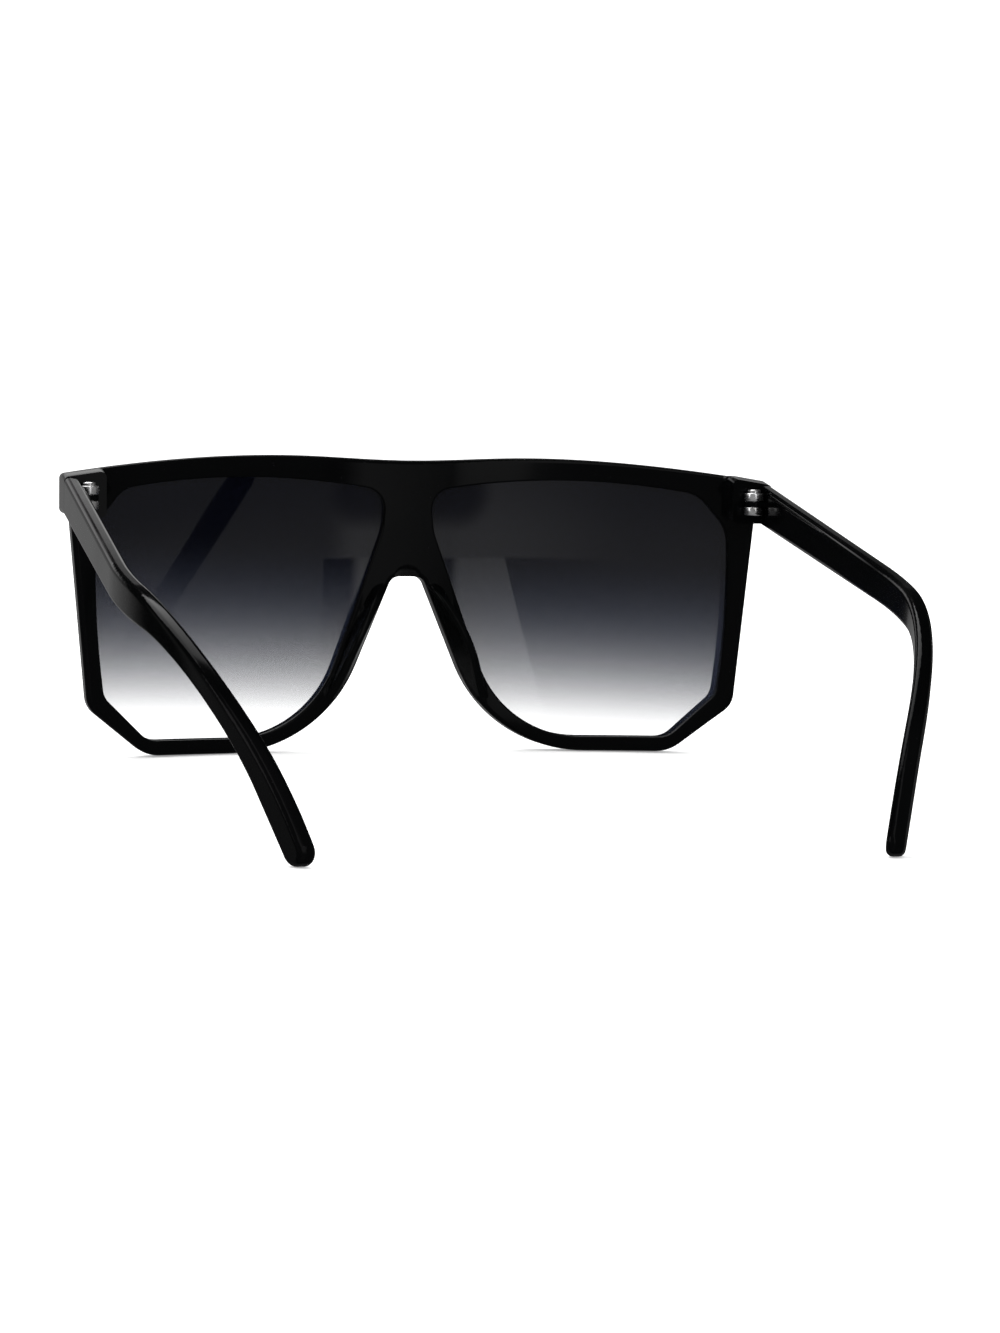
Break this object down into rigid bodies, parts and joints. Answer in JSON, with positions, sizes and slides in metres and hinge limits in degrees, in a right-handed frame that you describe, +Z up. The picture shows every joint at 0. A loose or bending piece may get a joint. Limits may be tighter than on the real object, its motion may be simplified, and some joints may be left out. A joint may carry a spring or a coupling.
{
  "type": "sunglasses",
  "caption": "Flat top sunglasses with wide rims, curved graded lenses, moulded nose pads and folding temples on metal eyelet hinges.",
  "frame": {"origin": "on the floor below the middle of the part's bounding box, with the rims and the temple tips standing on the floor and the temples open", "axes": "+X to the wearer's left, +Y from the front towards the temple tips, +Z up"},
  "size_m": [0.15, 0.1649, 0.0627],
  "materials": {
    "black_plastic": "polished black injection-moulded plastic",
    "smoke_lens": "smoke grey, darker at the top than at the foot, polished",
    "hinge_metal": "bright nickel-plated eyelets and screws"
  },
  "bodies": {
    "front": {"front_frame": "black_plastic", "lens_left": "smoke_lens", "lens_right": "smoke_lens", "hinge_leaf_left": "hinge_metal", "hinge_leaf_right": "hinge_metal", "hinge_screw_left": "hinge_metal", "hinge_screw_right": "hinge_metal"},
    "temple_left": {"temple_left": "black_plastic"},
    "temple_right": {"temple_right": "black_plastic"}
  },
  "joints": [
    {"name": "fold_left", "type": "hinge", "parent": "front", "child": "temple_left", "pos_m": [0.0702, -0.05661, 0.0541], "axis": [0, -0.0419, 0.9991], "range_deg": [0, 84]},
    {"name": "fold_right", "type": "hinge", "parent": "front", "child": "temple_right", "pos_m": [-0.0702, -0.05661, 0.0541], "axis": [0, 0.0419, -0.9991], "range_deg": [0, 76]}
  ]
}
